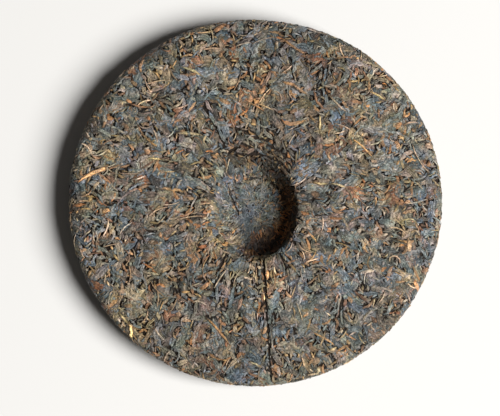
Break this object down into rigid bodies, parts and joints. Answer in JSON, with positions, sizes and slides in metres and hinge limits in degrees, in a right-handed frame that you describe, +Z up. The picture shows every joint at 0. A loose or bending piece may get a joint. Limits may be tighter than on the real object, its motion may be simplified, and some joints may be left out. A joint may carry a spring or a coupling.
{
  "type": "pressed pu erh tea cake",
  "caption": "Round flat cake of pressed ripe tea leaf with a knot dimple, cloth pleats and a straight crease in its back.",
  "frame": {"origin": "middle of the resting spot under the domed front, at the base of the cake", "axes": "+Z up out of the back, which holds the dimple; -Y towards the end of the straight crease; +X to the right seen from above with the crease towards the viewer"},
  "size_m": [0.2, 0.1993, 0.0252],
  "materials": {
    "dark_leaf": "matte",
    "russet_leaf": "matte",
    "golden_bud": "matte",
    "leaf_stem": "matte"
  },
  "bodies": {
    "root": {"tea_cake": "dark_leaf"}
  },
  "joints": []
}
